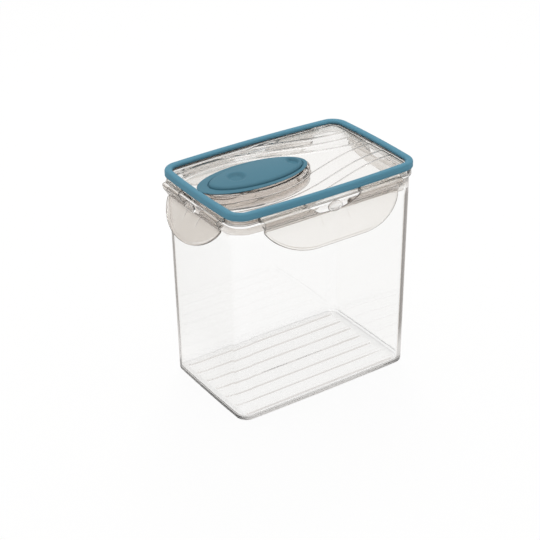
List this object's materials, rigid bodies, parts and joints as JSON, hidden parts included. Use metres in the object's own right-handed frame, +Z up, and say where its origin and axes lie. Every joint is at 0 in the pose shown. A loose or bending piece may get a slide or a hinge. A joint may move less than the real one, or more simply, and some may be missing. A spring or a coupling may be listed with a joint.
{
  "type": "cereal container with flip spout",
  "caption": "Tall clear box with tapered walls, a lid with a blue soft rim and side latches, and an oval rocking cap over a pouring neck.",
  "frame": {"origin": "middle of the underside of the container's base", "axes": "+X along the lid's length, away from the spout; +Y along its width, away from the front latch; +Z up"},
  "size_m": [0.237, 0.1668, 0.217],
  "materials": {
    "clear_body": "clear, polished",
    "clear_lid": "clear, polished",
    "clear_latch": "clear, slightly cloudy",
    "clear_plug": "clear, polished",
    "blue_band": "soft satin",
    "blue_cap": "soft satin",
    "gasket": "frosted silicone"
  },
  "bodies": {
    "container": {"container_body": "clear_body"},
    "lid": {"lid_shell": "clear_lid", "rim_band": "blue_band", "lid_gasket": "gasket"},
    "front_latch": {"front_latch": "clear_latch"},
    "back_latch": {"back_latch": "clear_latch"},
    "left_latch": {"left_latch": "clear_latch"},
    "right_latch": {"right_latch": "clear_latch"},
    "cap": {"cap_shell": "blue_cap", "cap_plug": "clear_plug", "spout_seal": "gasket"}
  },
  "joints": [
    {"name": "lid_lift", "type": "slide", "parent": "container", "child": "lid", "axis": [0, 0, 1], "range_m": [0, 0.09]},
    {"name": "front_latch_hinge", "type": "hinge", "parent": "lid", "child": "front_latch", "pos_m": [0, -0.0677, 0.208], "axis": [-1, 0, 0], "range_deg": [0, 95]},
    {"name": "back_latch_hinge", "type": "hinge", "parent": "lid", "child": "back_latch", "pos_m": [0, 0.0677, 0.208], "axis": [1, 0, 0], "range_deg": [0, 95]},
    {"name": "left_latch_hinge", "type": "hinge", "parent": "lid", "child": "left_latch", "pos_m": [-0.1028, 0, 0.208], "axis": [0, 1, 0], "range_deg": [0, 95]},
    {"name": "right_latch_hinge", "type": "hinge", "parent": "lid", "child": "right_latch", "pos_m": [0.1028, 0, 0.208], "axis": [0, -1, 0], "range_deg": [0, 95]},
    {"name": "cap_rock", "type": "hinge", "parent": "lid", "child": "cap", "pos_m": [-0.0068, 0, 0.2105], "axis": [0, 1, 0], "range_deg": [0, 30]}
  ]
}
